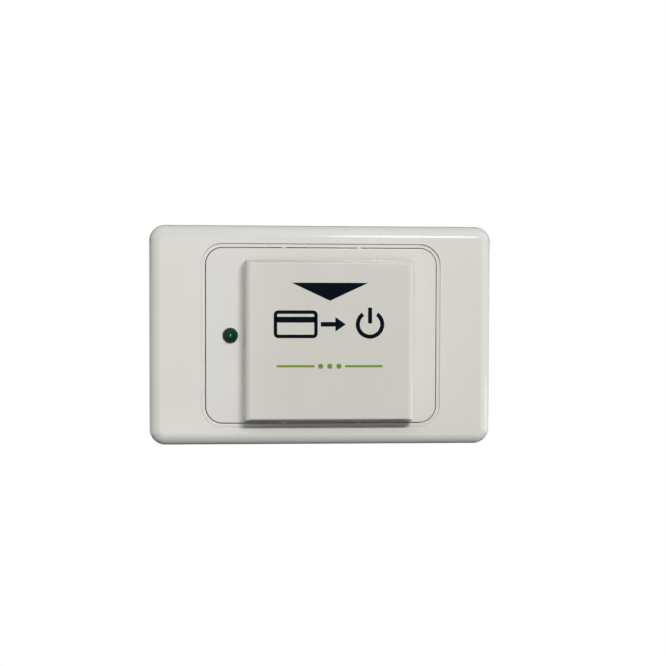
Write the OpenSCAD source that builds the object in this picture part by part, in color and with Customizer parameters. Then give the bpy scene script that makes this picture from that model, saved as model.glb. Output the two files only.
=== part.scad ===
// Hotel key card switch on a two-screw wall plate, in millimetres.
// Every module is drawn on the bench: X to the right, Y up the wall, Z out of the wall, with
// Z = 0 at the wall. upright() then stands it on the wall, front towards -Y and +Z up.

/* [Cover plate] */
// Width of the clip-on cover plate
plate_w = 116; // [112:1:122]
// Height of the cover plate
plate_h = 74.3; // [72.5:0.1:80]
// Depth from the wall to the plate's front face
plate_d = 10; // [9:0.5:12]
// Wall of the cover plate
plate_wall = 2; // [1.6:0.1:2.4]
// Corner radius seen from the front
plate_corner_r = 5.4; // [4.6:0.2:7]
// Radius that rounds the front edge
plate_edge_r = 4; // [2.4:0.2:4.4]
// Width of the sunk ledge round the opening
ledge_w = 1.25; // [0.8:0.05:1.6]
// Depth of the sunk ledge
ledge_d = 0.5; // [0.3:0.1:0.8]
// Width of the fine groove at the ledge's outer edge
groove_w = 0.35; // [0.2:0.05:0.5]
// Distance between the two clips on one edge of the opening
clip_pitch = 25.4; // [22:0.2:34]
// Width of a clip leg
clip_w = 7; // [5:0.5:9]

/* [Grid plate and front panel] */
// Width of the front panel
panel_w = 77.7; // [76.9:0.1:80]
// Height of the front panel
panel_h = 58.9; // [58:0.1:60.6]
// Corner radius of the front panel
panel_r = 5.6; // [4.6:0.2:6.4]
// Wall of the front panel
panel_wall = 2; // [1.6:0.1:2.4]
// Visible gap between panel and cover plate
panel_gap = 0.3; // [0.2:0.05:0.5]
// Thickness of the flange that lies on the wall
flange_t = 2.5; // [2:0.1:3]
// Room between the flange's rim and the inside of the cover plate
flange_play = 2.4; // [1.8:0.1:3]
// Distance between the wall fixing screws
fixing_pitch = 84; // [83:0.5:86]
// Diameter of a wall fixing hole
fixing_d = 4.2; // [3.8:0.1:5]

/* [Card holder] */
// Width of a key card
card_w = 54; // [52:0.5:55]
// Side play of the card in the holder
card_play = 0.4; // [0.3:0.1:0.8]
// Thickness of the card slot
slot_gap = 4.4; // [4.2:0.1:5]
// Height of the card holder
holder_h = 55.3; // [53:0.1:55.4]
// How far the holder stands out of the panel
holder_d = 12; // [11:0.5:15]
// Side wall of the holder
holder_wall = 1.3; // [1.2:0.05:1.5]
// Front, top and bottom wall of the holder
holder_face_t = 1.8; // [1.6:0.1:2.2]
// Corner radius of the holder at the panel
holder_corner_r = 2; // [1.2:0.1:2]
// Radius that rounds the front edge along both sides
holder_edge_r = 2.3; // [1.4:0.1:2.4]
// Radius that rounds the front edge at the top and the bottom
holder_rim_r = 0.6; // [0.6:0.1:1.2]
// How far each side leans in towards the front
side_lean = 0.5; // [0.2:0.1:0.5]
// How far the top leans in towards the front
top_lean = 1.5; // [0.4:0.1:1.6]
// How far the bottom leans in towards the front
bottom_lean = 2; // [0.6:0.1:2]
// Holder centre, to the right of the plate's centre
holder_x = 2.2; // [1:0.1:4]
// Strip of the panel that shows below the holder
holder_strip = 0.15; // [0.1:0.05:1.5]
// Ribs that guide the card
rib_count = 4; // [2:2:6]

/* [Card lever] */
// Height of the lever's pivot above the plate's centre
pivot_y = -15; // [-16:0.1:-14.5]
// Swing of the lever under a fully inserted card, in degrees
lever_swing = 12; // [9:0.5:13]
// Width of the finger that the card pushes
finger_w = 8; // [6:0.5:9]
// Thickness of the finger
finger_t = 2.4; // [2:0.1:2.8]
// Diameter of the pivot pin
pin_d = 2; // [1.6:0.1:2.2]
// Wire of the return spring
spring_wire = 0.45; // [0.3:0.05:0.5]
// Turns of the return spring
spring_turns = 4; // [3:1:4]

/* [Indicator] */
// Diameter of the indicator lamp's dome
led_d = 5; // [4:0.1:5.2]
// Distance of the indicator lamp from the panel's left edge
led_inset = 8.15; // [8.05:0.05:8.6]
// How far the lamp's straight part stands out of the panel
led_proud = 0.4; // [0:0.1:1]

/* [Rear case and board] */
// Strip of the case's lid at each side of the tub
lid_side = 1.55; // [1.2:0.05:1.6]
// Depth of the rear case behind the wall face
case_d = 24; // [23:0.5:28]
// Wall of the rear case
case_wall = 1.8; // [1.5:0.1:2]
// Depth of the circuit board's front face behind the wall face
board_depth = 8; // [7.9:0.1:8.6]
// Thickness of the circuit board
board_t = 1.6; // [1.2:0.1:2]
// Distance between two wire terminals
terminal_pitch = 11; // [10.6:0.2:13]
// Diameter of a terminal's wire bore
wire_d = 3.8; // [3:0.1:4.2]

/* [Hidden] */
$fn = 48;
skin = 0.01; // cuts run this far past a face
lap = 0.4; // pieces of one moulding run this far into each other
seat = 0.05; // clearance between pieces that touch on the real object
run = 0.04; // radial clearance of a turning fit
ease = 0.3; // clearance of a loose fit

// Cover plate
opening_w = panel_w + 2 * panel_gap;
opening_h = panel_h + 2 * panel_gap;
opening_r = panel_r + panel_gap;
groove_d = 0.45;
collar_t = 1.2;
collar_d = 2.6;
back_z = plate_d - plate_wall; // the inside of the plate's front wall
clip_lift = 0.9; // between the flange and a clip's end
clip_end_z = flange_t + clip_lift;
barb = 0.8;
barb_h = 1.5;
barb_slope = 0.35;
catch_d = 1.1; // pocket in the panel's side for a barb
bridge_w = 1.3; // web that closes the gap at each clip
pry_y = -18.8; // pry lug in the left ledge
pry_l = 2.1;

// Grid plate
face_z = plate_d; // the panel lies flush with the plate
inner_z = face_z - panel_wall;
panel_edge_r = 0.3;
well_w = panel_w - 2 * panel_wall;
well_h = panel_h - 2 * panel_wall;
well_r = panel_r - panel_wall;
flange_w = plate_w - 2 * (plate_wall + flange_play);
flange_h = plate_h - 2 * (plate_wall + flange_play);
flange_r = 3;
rim_w = 1.2;
rim_h = clip_lift - 0.2;
fixing_boss_d = fixing_d + 5;
fixing_boss_h = 0.6;

// Card holder
channel_w = card_w + card_play;
holder_w = channel_w + 2 * holder_wall;
holder_left = holder_x - holder_w / 2;
holder_right = holder_x + holder_w / 2;
holder_bottom = holder_strip - panel_h / 2;
holder_top = holder_bottom + holder_h;
holder_y = holder_bottom + holder_h / 2;
hollow_top = holder_top - holder_face_t - top_lean;
hollow_bottom = holder_bottom + holder_face_t + bottom_lean;
holder_front = face_z + holder_d;
slot_z = face_z + slot_gap;
card_z = face_z + slot_gap / 2;
hollow_w = channel_w - 2.4; // the hollow in front of the card is narrower than the card
rib_t = 1.2;
rib_pitch = hollow_w / (rib_count + 1);
lead_in = 1.1;
hook_t = holder_wall - 0.2;
hook_w = 6;
hook_y = 13; // hooks above and below the holder's centre
hook_barb = 0.6;
hook_h = 1.4;
hook_play = 0.15;

// Card lever, swinging about X
pivot_z = 0;
hub_r = pin_d / 2 + 1.6;
finger_rise = 0.9; // top of the finger above the pivot
finger_play = 0.5; // beside the finger, in the panel and the floor
finger_tip = slot_z - 0.2;
floor_y = pivot_y + finger_rise / cos(lever_swing) - (card_z - pivot_z) * tan(lever_swing);
floor_t = 1.6;
sweep_y = pivot_y - (finger_t - finger_rise) / cos(lever_swing) - (face_z - pivot_z) * tan(lever_swing);
hub_x0 = holder_x - finger_w / 2;
hub_x1 = holder_x + finger_w / 2;
ear_t = 2;
ear_r = 2.5;
spring_gap = 0.5; // between two turns
spring_r = pin_d / 2 + spring_wire / 2 + 0.5;
spring_pitch = spring_wire + spring_gap;
spring_x0 = hub_x1 + ease + spring_wire / 2;
spring_x1 = spring_x0 + spring_turns * spring_pitch;
spring_leg = 6;
spring_sides = 6;
spring_rings = 12 * spring_turns;
spring_sweep = 360 * spring_turns - 180; // degrees of wire about the pin
ear_left = hub_x0 - ease - ear_t;
ear_right = spring_x1 + spring_wire / 2 + ease;
pin_x0 = ear_left - 1.6;
pin_x1 = ear_right + ear_t;
clip_ring_t = 0.6;
clip_ring_w = 1.2;
pin_head = 0.9;
groove_r = pin_d / 2 - 0.25;
groove_x = ear_left - ease - clip_ring_t;
nose_r = 1;
nose_rise = 0.6;
arm_w = 6;
arm_t = 1.8;
lug_l = 1.8;
lug_t = 1.6;

// Rear case: its lid lies in the panel's well, with a strip for the screws above and below the tub
lid_t = 1.8;
lid_w = well_w - 2 * ease;
lid_h = well_h - 2 * ease;
case_head_r = 2.1;
case_head_t = 1.6;
head_gap = 0.2; // between a screw's head and the tub
case_w = lid_w - 2 * lid_side;
case_h = lid_h - 2 * (2 * case_head_r + head_gap + seat);
boss_x = case_w / 2 - 4.5;
boss_y = case_h / 2 + case_head_r + head_gap;
boss_r = 2.7;
tapped_r = 0.95;
screw_r = 1;
screw_l = 6;
screw_hole_r = 1.3;

// Circuit board and microswitch
board_z = -board_depth;
board_w = case_w - 2 * case_wall - 0.6;
board_h = case_h - 2 * case_wall - 1.2;
board_back = board_z - board_t;
board_edge = 1.4; // bare strip along the board's edge
board_head_r = 2.1;
board_head_t = 1.5;
post_x = board_w / 2 - 4.4;
post_y = board_h / 2 - 4.1;
post_r = 3;
peg_r = 1;
switch_l = 19.8;
switch_h = 9.5;
switch_t = 6.4;
plunger_inset = 7.5; // from the switch's left end
switch_x0 = holder_x - plunger_inset;
plunger_r = 1.2;
plunger_free = 1.45;
plunger_z = board_z + switch_t / 2;
nose_reach = pivot_z - plunger_z;
plunger_tip = pivot_y + nose_rise + nose_r + seat;
plunger_travel = nose_reach * sin(lever_swing) + nose_rise * (cos(lever_swing) - 1);
plunger_l = 4.6;
switch_y0 = plunger_tip + plunger_free;
switch_y1 = switch_y0 + switch_h;
switch_base_t = 4.6;
switch_split = board_z + switch_base_t; // where the cover meets the base
switch_hole_r = 1.2;
switch_hole_pitch = 9.5;
switch_hole_inset = 2.6;
switch_pin_pitch = 7.7;
switch_pins = [for (s = [-1 : 1]) switch_x0 + switch_l / 2 + s * switch_pin_pitch];
plunger_cone = 0.35;
blade_w = 1;
blade_t = 0.5;
blade_root = 1.9; // inside the switch
blade_out = 1.35; // to the bend
pin_hole_r = 0.6;
lead_r = 0.3;
lead_gap = 0.15;
lead_run = 1.4; // from an axial part's end to its bent lead
lead_bend_r = lead_r + 0.05;
led_lead_pitch = 2.54;
led_gap = 0.15; // round the lamp in the panel
led_flange = 0.4;
led_x = panel_w / 2 - led_inset; // to the left of the plate's centre
led_length = 6.1; // straight part of the lamp, flange included
led_base = face_z + led_proud - led_length;

// What stands on the board: the first parts keep to its screws and edges, the others to those parts
part_gap = 1.2;
relay_w = 19.2;
relay_h = 15.4;
relay_tall = 15.2;
relay_base_t = 1.6;
relay_x = post_x - board_head_r - part_gap - relay_w / 2;
relay_y = board_h / 2 - board_edge - relay_h / 2;
can_r = 4;
can_tall = 12;
can_groove = 0.3;
can_gap = 2.6; // on both sides of the can, between the relay and the film capacitor
can_x = relay_x - relay_w / 2 - can_gap - can_r;
can_y = board_h / 2 - board_edge - can_r;
film_left = -post_x + board_head_r + part_gap;
film_w = can_x - can_r - can_gap - film_left;
film_t = 7;
film_tall = 12;
film_x = film_left + film_w / 2;
film_y = board_h / 2 - board_edge - film_t / 2;
rectifier_w = 8.3;
rectifier_h = 6.4;
rectifier_t = 3.3;
rectifier_x = film_left + rectifier_w / 2;
rectifier_y = film_y - film_t / 2 - part_gap - rectifier_h / 2;
fuse_r = 2.1;
fuse_l = 10.5;
fuse_y = rectifier_y - rectifier_h / 2 - part_gap - fuse_r;
varistor_r = 4.8;
varistor_t = 4;
varistor_pitch = 5;
varistor_y = board_edge + varistor_t / 2 - board_h / 2;
resistor_r = 0.95;
resistor_l = 3.6;
resistor_pitch = 2.54;
resistor_count = 3;
resistor_x = post_x - peg_r - part_gap - lead_bend_r - lead_run - resistor_l / 2;
resistor_y = board_edge + resistor_r - board_h / 2;
chip_l = 9.6;
chip_w = 6.4;
chip_t = 3.3;
chip_leg = 0.5;
chip_leg_pitch = 2.54;
chip_x = board_w / 2 - board_edge - chip_l / 2;
chip_y = resistor_y + (resistor_count - 1) * resistor_pitch + resistor_r + part_gap + chip_leg + chip_w / 2;

// Rear case and terminals
solder_gap = 1.1;
ledge_z = board_back - solder_gap - case_wall; // outside of the shallow part
step_y = -8; // the deep part of the case starts here
terminal_count = 3;
clamp_w = 8;
clamp_l = 11;
clamp_skin = 0.7; // plastic below a clamp
clamp_play = 0.2;
clamp_head_r = 2.8;
clamp_front = ledge_z - clamp_skin - clamp_play;
bore_z = clamp_front - 1.1 - wire_d / 2;
clamp_back = bore_z - wire_d / 2 - 3.1;
block_w = terminal_count * terminal_pitch;
block_back = -case_d;
block_top = step_y;
clamp_top = block_top - 2.8;
block_bottom = clamp_top - clamp_l - 0.8;
thread_r = 1.75;
clamp_screw_l = 3.2;
clamp_head_t = 1.7;
clamp_screw_y = clamp_top - clamp_l / 2;
clamp_pin_y = clamp_top - 3;
clamp_pin_r = 0.6;
terminal_x = [for (i = [0 : terminal_count - 1]) (i - (terminal_count - 1) / 2) * terminal_pitch];

// Shapes that repeat

module upright() {
    rotate([90, 0, 0]) children();
}

module box(low, high) {
    translate(low) cube(high - low);
}

module rod_x(r, x0, x1, y, z) {
    translate([x0, y, z]) rotate([0, 90, 0]) cylinder(r = r, h = x1 - x0);
}

module rod_y(r, y0, y1, x, z) {
    translate([x, y1, z]) rotate([90, 0, 0]) cylinder(r = r, h = y1 - y0);
}

module rod_z(r, z0, z1, x, y) {
    translate([x, y, z0]) cylinder(r = r, h = z1 - z0);
}

// An outline in Y and Z, drawn as [z, y] points, run along X.
module along_x(x0, x1) {
    translate([x0, 0, 0]) rotate([0, 90, 0]) mirror([1, 0, 0]) linear_extrude(x1 - x0) children();
}

module rounded_rect(w, h, r) {
    square([w, h - 2 * r], center = true);
    square([w - 2 * r, h], center = true);
    for (sx = [-1, 1], sy = [-1, 1]) translate([sx * (w / 2 - r), sy * (h / 2 - r)]) circle(r);
}

module slab(w, h, r, z0, z1) {
    translate([0, 0, z0]) linear_extrude(z1 - z0) rounded_rect(w, h, r);
}

// Section through a moulded edge: corner_r wide and d high, with its outer top corner rounded.
module edge_section(corner_r, edge_r, d) {
    flat = corner_r - edge_r;
    square([corner_r, d - edge_r]);
    translate([0, d - edge_r]) square([flat, edge_r]);
    translate([flat, d - edge_r]) intersection() {
        circle(edge_r);
        square(edge_r);
    }
}

// A plate with round corners and a round front edge: four corners, four sides and the middle.
module pillow(w, h, corner_r, edge_r, z0, z1) {
    mid_w = w - 2 * corner_r;
    mid_h = h - 2 * corner_r;
    translate([0, 0, z0]) {
        translate([-mid_w / 2, -mid_h / 2, 0]) cube([mid_w, mid_h, z1 - z0]);
        for (side = [0 : 3]) {
            along = side % 2 == 0 ? mid_h : mid_w;
            out = side % 2 == 0 ? mid_w : mid_h;
            rotate([0, 0, 90 * side]) {
                translate([out / 2, along / 2, 0]) rotate([90, 0, 0]) linear_extrude(along)
                    edge_section(corner_r, edge_r, z1 - z0);
                translate([out / 2, along / 2, 0]) rotate_extrude(angle = 90)
                    edge_section(corner_r, edge_r, z1 - z0);
            }
        }
    }
}

// Outline of a moulded box as [across, out] points, from low to high and d deep. Its sides lean in
// towards the front, and its front corners are rounded.
module leaning_section(low, high, lean_low, lean_high, d, edge_r) {
    side = d - edge_r;
    front_low = low + lean_low + edge_r;
    front_high = high - lean_high - edge_r;
    polygon([[low, 0], [high, 0], [high - lean_high, side], [low + lean_low, side]]);
    translate([front_low, side - lap]) square([front_high - front_low, edge_r + lap]);
    for (across = [front_low, front_high]) translate([across, side]) circle(edge_r);
}

// A pan-head screw with a driving slot: its head sits on z = 0 and it points towards -Z.
module pan_screw(shank_r, shank_l, head_r, head_t) {
    slot_w = head_r * 0.3;
    difference() {
        union() {
            rod_z(shank_r, -shank_l, lap, 0, 0);
            rod_z(head_r, 0, head_t, 0, 0);
        }
        box([-head_r - skin, -slot_w / 2, head_t * 0.45], [head_r + skin, slot_w / 2, head_t + skin]);
    }
}

// An axial part lying along X on the board, with its two leads bent down into the board's face.
module axial_part(r, l, x, y) {
    z = board_z + r + seat;
    rod_x(r, x - l / 2, x + l / 2, y, z);
    for (s = [-1, 1]) {
        root = x + s * (l / 2 - lap);
        end = x + s * (l / 2 + lead_run);
        rod_x(lead_r, min(root, end), max(root, end), y, z);
        rod_z(lead_bend_r, board_z, z + lead_bend_r, end, y);
    }
}

// Cover plate

module clip(side) {
    edge = side * opening_h / 2;
    tip = edge - side * barb;
    outer = edge + side * collar_t;
    root = back_z + lap;
    catch = clip_end_z + barb_h;
    along_x(-clip_w / 2, clip_w / 2) polygon([[clip_end_z, outer], [root, outer], [root, edge],
        [catch, edge], [catch - barb_slope, tip], [clip_end_z + barb_slope, tip], [clip_end_z, edge]]);
}

module ledge_groove() {
    inner_w = opening_w + 2 * (ledge_w - groove_w);
    inner_h = opening_h + 2 * (ledge_w - groove_w);
    low = plate_d - ledge_d - groove_d;
    difference() {
        slab(opening_w + 2 * ledge_w, opening_h + 2 * ledge_w, opening_r + ledge_w, low, plate_d);
        slab(inner_w, inner_h, opening_r + ledge_w - groove_w, low - skin, plate_d + skin);
    }
}

module surround() {
    color("#dbd9d3") upright() {
        difference() {
            union() {
                difference() {
                    pillow(plate_w, plate_h, plate_corner_r, plate_edge_r, 0, plate_d);
                    slab(plate_w - 2 * plate_wall, plate_h - 2 * plate_wall, plate_corner_r - plate_wall,
                        -skin, back_z);
                }
                slab(opening_w + 2 * collar_t, opening_h + 2 * collar_t, opening_r + collar_t,
                    back_z - collar_d, back_z + lap);
            }
            slab(opening_w, opening_h, opening_r, -skin, plate_d + skin);
            slab(opening_w + 2 * ledge_w, opening_h + 2 * ledge_w, opening_r + ledge_w,
                plate_d - ledge_d, plate_d + skin);
            ledge_groove();
        }
        for (sx = [-1, 1], side = [-1, 1]) translate([sx * clip_pitch / 2, 0, 0]) {
            clip(side);
            bridge = side * (opening_h / 2 - panel_gap + seat);
            box([-bridge_w / 2, min(bridge, side * opening_h / 2), back_z],
                [bridge_w / 2, max(bridge, side * opening_h / 2), plate_d - ledge_d]);
        }
        box([-opening_w / 2 - ledge_w - lap, pry_y, back_z + lap], [-opening_w / 2, pry_y + pry_l, plate_d]);
    }
}

// Grid plate: the wall flange, the raised front panel and what is moulded on its inside

module panel_shell() {
    difference() {
        union() {
            slab(flange_w, flange_h, flange_r, 0, flange_t);
            pillow(panel_w, panel_h, panel_r, panel_edge_r, 0, face_z);
            difference() {
                slab(flange_w, flange_h, flange_r, flange_t - lap, flange_t + rim_h);
                slab(flange_w - 2 * rim_w, flange_h - 2 * rim_w, flange_r - rim_w,
                    flange_t - lap - skin, flange_t + rim_h + skin);
            }
            for (s = [-1, 1])
                rod_z(fixing_boss_d / 2, 0, flange_t + fixing_boss_h, s * fixing_pitch / 2, 0);
        }
        slab(well_w, well_h, well_r, -skin, inner_z);
    }
}

module panel_cuts() {
    for (s = [-1, 1]) rod_z(fixing_d / 2, -skin, face_z, s * fixing_pitch / 2, 0);
    rod_z(led_d / 2 + led_gap, inner_z - skin, face_z + skin, -led_x, 0);
    box([hub_x0 - finger_play, sweep_y - ease, inner_z - skin],
        [hub_x1 + finger_play, pivot_y + finger_rise + ease, face_z + skin]);
    for (sx = [-1, 1], sy = [-1, 1]) {
        inside = holder_x + sx * (channel_w / 2 - hook_play);
        outside = holder_x + sx * (channel_w / 2 + hook_t + hook_play);
        middle = holder_y + sy * hook_y;
        box([min(inside, outside), middle - hook_w / 2 - ease, inner_z - skin],
            [max(inside, outside), middle + hook_w / 2 + ease, face_z + skin]);
        deep = sy * (panel_h / 2 - catch_d);
        mouth = sy * (panel_h / 2 + skin);
        reach = clip_w / 2 + ease;
        translate([sx * clip_pitch / 2, 0, 0]) box([-reach, min(deep, mouth), clip_end_z - ease],
            [reach, max(deep, mouth), clip_end_z + barb_h + ease]);
    }
}

module case_bosses() {
    for (sx = [-1, 1], sy = [-1, 1]) difference() {
        rod_z(boss_r, lid_t, inner_z + lap, sx * boss_x, sy * boss_y);
        rod_z(tapped_r, lid_t - skin, inner_z - 0.8, sx * boss_x, sy * boss_y);
    }
}

module pivot_ear(x0) {
    difference() {
        union() {
            rod_x(ear_r, x0, x0 + ear_t, pivot_y, pivot_z);
            box([x0, pivot_y - ear_r, pivot_z], [x0 + ear_t, pivot_y + ear_r, inner_z + lap]);
        }
        rod_x(pin_d / 2 + 0.01, x0 - skin, x0 + ear_t + skin, pivot_y, pivot_z);
    }
}

module spring_stop() {
    top = pivot_y + spring_r - spring_wire / 2 - seat;
    box([ear_right - 1.4, top - 1, spring_leg - 2.4], [ear_right + lap, top, inner_z + lap]);
}

module grid_plate() {
    color("#d9d7d0") upright() {
        difference() {
            panel_shell();
            panel_cuts();
        }
        case_bosses();
        pivot_ear(ear_left);
        pivot_ear(ear_right);
        spring_stop();
    }
}

// Card holder: a box with a slot in its top, card ribs, a floor and four snap hooks

module holder_hook(sx, sy) {
    middle = holder_y + sy * hook_y;
    inside = channel_w / 2;
    root = face_z + 1.5;
    under = inner_z - seat; // the barb catches behind the panel
    outside = inside + hook_t;
    translate([holder_x, middle + hook_w / 2, 0]) rotate([90, 0, 0]) linear_extrude(hook_w)
        mirror([sx < 0 ? 1 : 0, 0]) polygon([[inside, root], [outside, root], [outside, under],
            [outside + hook_barb, under], [outside, under - hook_h], [inside, under - hook_h]]);
}

// The holder's outside is what three outlines have in common: from the front, from above and from the side.
module holder_form() {
    intersection() {
        translate([holder_x, holder_y, 0])
            slab(holder_w + 2 * skin, holder_h + 2 * skin, holder_corner_r, face_z, holder_front);
        translate([0, holder_top + skin, face_z]) rotate([90, 0, 0]) linear_extrude(holder_h + 2 * skin)
            leaning_section(holder_left, holder_right, side_lean, side_lean, holder_d, holder_edge_r);
        along_x(holder_left - skin, holder_right + skin) translate([face_z, 0]) mirror([1, -1])
            leaning_section(holder_bottom, holder_top, bottom_lean, top_lean, holder_d, holder_rim_r);
    }
}

module holder_shell() {
    difference() {
        holder_form();
        box([holder_x - channel_w / 2, hollow_bottom, face_z - skin],
            [holder_x + channel_w / 2, holder_top + skin, slot_z]);
        box([holder_x - hollow_w / 2, hollow_bottom, slot_z - skin],
            [holder_x + hollow_w / 2, hollow_top, holder_front - holder_face_t]);
        along_x(holder_x - channel_w / 2, holder_x + channel_w / 2)
            polygon([[slot_z - skin, holder_top - lead_in], [slot_z - skin, holder_top + skin],
                [slot_z + lead_in, holder_top + skin]]);
    }
}

module card_holder() {
    color("#d2d0c6") upright() {
        holder_shell();
        for (i = [1 : rib_count]) {
            x = holder_x - hollow_w / 2 + i * rib_pitch;
            box([x - rib_t / 2, floor_y - lap, slot_z],
                [x + rib_t / 2, hollow_top + lap, holder_front - holder_face_t + lap]);
        }
        difference() {
            box([holder_x - channel_w / 2 - lap, floor_y - floor_t, face_z + seat],
                [holder_x + channel_w / 2 + lap, floor_y, holder_front - holder_face_t + lap]);
            box([hub_x0 - finger_play, floor_y - floor_t - skin, face_z],
                [hub_x1 + finger_play, floor_y + skin, finger_tip + 2 * ease]);
        }
        for (sx = [-1, 1], sy = [-1, 1]) holder_hook(sx, sy);
    }
}

// Card lever and its pivot

module card_lever() {
    finger_y = pivot_y + finger_rise - finger_t / 2;
    finger_end = finger_tip - finger_t / 2;
    arm_top = pivot_y + nose_rise;
    arm_left = holder_x - arm_w / 2;
    arm_right = holder_x + arm_w / 2;
    lug_y = pivot_y - spring_r + spring_wire / 2 + seat; // rests on the spring's free leg
    color("#e2e0d9") upright() difference() {
        union() {
            rod_x(hub_r, hub_x0, hub_x1, pivot_y, pivot_z);
            box([hub_x0, finger_y - finger_t / 2, pivot_z], [hub_x1, finger_y + finger_t / 2, finger_end]);
            rod_x(finger_t / 2, hub_x0, hub_x1, finger_y, finger_end);
            box([arm_left, arm_top - arm_t, plunger_z - nose_r], [arm_right, arm_top, pivot_z]);
            rod_x(nose_r, arm_left, arm_right, arm_top, plunger_z);
            box([hub_x1 - lap, lug_y, spring_leg - lug_l],
                [spring_x0 + spring_wire, lug_y + lug_t, spring_leg]);
        }
        rod_x(pin_d / 2 + run, hub_x0 - skin, hub_x1 + skin, pivot_y, pivot_z);
    }
}

module lever_pin() {
    color("#b9bcc0") upright() difference() {
        union() {
            rod_x(pin_d / 2, pin_x0, pin_x1 + lap, pivot_y, pivot_z);
            rod_x(pin_d / 2 + pin_head, pin_x1 + seat, pin_x1 + pin_head, pivot_y, pivot_z);
        }
        difference() {
            rod_x(pin_d, groove_x - seat, groove_x + clip_ring_t + seat, pivot_y, pivot_z);
            rod_x(groove_r, groove_x - clip_ring_t, groove_x + 2 * clip_ring_t, pivot_y, pivot_z);
        }
    }
}

module pin_clip() {
    gap = groove_r + seat;
    low = groove_x - skin;
    high = groove_x + clip_ring_t + skin;
    color("#8d9094") upright() difference() {
        rod_x(pin_d / 2 + clip_ring_w, groove_x, groove_x + clip_ring_t, pivot_y, pivot_z);
        rod_x(gap, low, high, pivot_y, pivot_z);
        box([low, pivot_y - gap, pivot_z], [high, pivot_y + gap, pivot_z + 2 * pin_d]);
    }
}

// Return spring: one wire with a straight leg, a coil about the pin and another straight leg

// A point of the wire's line: its place along the pin, its angle about the pin and its run along +Z.
function coil_point(t) = [spring_x0 + t * (spring_x1 - spring_x0), -90 - t * spring_sweep, 0];

spring_line = concat([coil_point(0) + [0, 0, spring_leg]],
    [for (i = [0 : spring_rings]) coil_point(i / spring_rings)],
    [coil_point(1) + [0, 0, spring_leg]]);

function spring_point(p) = [p[0], pivot_y + spring_r * sin(p[1]), pivot_z + spring_r * cos(p[1]) + p[2]];

function spring_ring(p) = let (q = spring_point(p)) [for (k = [0 : spring_sides - 1])
    let (a = 360 * k / spring_sides, out = spring_wire / 2 * cos(a))
    q + [spring_wire / 2 * sin(a), out * sin(p[1]), out * cos(p[1])]];

module lever_spring() {
    rings = len(spring_line);
    points = [for (p = spring_line) each spring_ring(p)];
    sides = [for (i = [0 : rings - 2], k = [0 : spring_sides - 1])
        let (a = i * spring_sides + k, b = i * spring_sides + (k + 1) % spring_sides)
        each [[a, b, a + spring_sides], [b, b + spring_sides, a + spring_sides]]];
    last = (rings - 1) * spring_sides;
    caps = [for (k = [1 : spring_sides - 2]) each [[0, k + 1, k], [last, last + k, last + k + 1]]];
    color("#a7aaad") upright() polyhedron(points, concat(sides, caps));
}

// The least gap between two turns, a whole turn apart along the pin.
echo(spring_least_gap = (spring_x1 - spring_x0) * 360 / spring_sweep - spring_wire);

// Microswitch, lying on the board with its plunger towards the lever

module switch_half(z0, z1) {
    difference() {
        box([switch_x0, switch_y0, z0], [switch_x0 + switch_l, switch_y1, z1]);
        for (s = [-1, 1]) rod_z(switch_hole_r, z0 - skin, z1 + skin,
            switch_x0 + switch_l / 2 + s * switch_hole_pitch / 2, switch_y0 + switch_hole_inset);
    }
}

module switch_base() {
    bore_end = plunger_tip + plunger_l + plunger_travel + ease;
    color("#23262a") upright() difference() {
        switch_half(board_z, switch_split);
        rod_y(plunger_r + seat, switch_y0 - skin, bore_end, holder_x, plunger_z);
        for (x = switch_pins) translate([x, switch_y1, plunger_z])
            box([-blade_w / 2 - seat, -blade_root - seat, -blade_t / 2 - seat],
                [blade_w / 2 + seat, skin, blade_t / 2 + seat]);
    }
}

module switch_cover() {
    color("#2d3035") upright() switch_half(switch_split, board_z + switch_t);
}

module switch_plunger() {
    color("#c8402f") upright() {
        rod_y(plunger_r, plunger_tip + plunger_cone, plunger_tip + plunger_l, holder_x, plunger_z);
        translate([holder_x, plunger_tip + plunger_cone, plunger_z]) rotate([90, 0, 0])
            cylinder(r1 = plunger_r, r2 = plunger_r - plunger_cone, h = plunger_cone);
    }
}

// Each blade runs out of the switch and turns down through the board.
module switch_terminals() {
    color("#c9b06a") upright() for (x = switch_pins) translate([x, switch_y1, plunger_z]) {
        box([-blade_w / 2, -blade_root, -blade_t / 2], [blade_w / 2, blade_out + blade_t / 2, blade_t / 2]);
        box([-blade_t / 2, blade_out - blade_t / 2, board_back - plunger_z],
            [blade_t / 2, blade_out + blade_t / 2, 0]);
    }
}

// Indicator lamp

module indicator_led() {
    top = face_z + led_proud;
    color("#123a2b") upright() {
        rod_z(led_d / 2 + led_flange, led_base, led_base + 1, -led_x, 0);
        rod_z(led_d / 2, led_base + 1 - skin, top, -led_x, 0);
        intersection() {
            translate([-led_x, 0, top]) sphere(r = led_d / 2);
            box([-led_x - led_d, -led_d, top - skin], [-led_x + led_d, led_d, top + led_d]);
        }
    }
}

module led_leads() {
    color("#bfc3c7") upright() for (s = [-1, 1])
        rod_z(lead_r, board_back - 0.6, led_base, -led_x + s * led_lead_pitch / 2, 0);
}

module led_lead_holes(z0, z1) {
    for (s = [-1, 1]) rod_z(lead_r + lead_gap, z0, z1, -led_x + s * led_lead_pitch / 2, 0);
}

module led_spacer() {
    color("#e6e4dc") upright() difference() {
        rod_z(led_d / 2 - ease, board_z, led_base, -led_x, 0);
        led_lead_holes(board_z - skin, led_base + skin);
    }
}

// Circuit board and its parts

module circuit_board() {
    low = board_back - skin;
    high = board_z + skin;
    color("#2f5d3a") upright() difference() {
        slab(board_w, board_h, 1.5, board_back, board_z);
        for (s = [-1, 1]) {
            rod_z(screw_hole_r, low, high, s * post_x, post_y);
            rod_z(peg_r + seat, low, high, s * post_x, -post_y);
        }
        led_lead_holes(low, high);
        for (x = switch_pins) rod_z(pin_hole_r, low, high, x, switch_y1 + blade_out);
        for (x = terminal_x) rod_z(clamp_pin_r + lead_gap, low, high, x, clamp_pin_y);
    }
}

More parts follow.
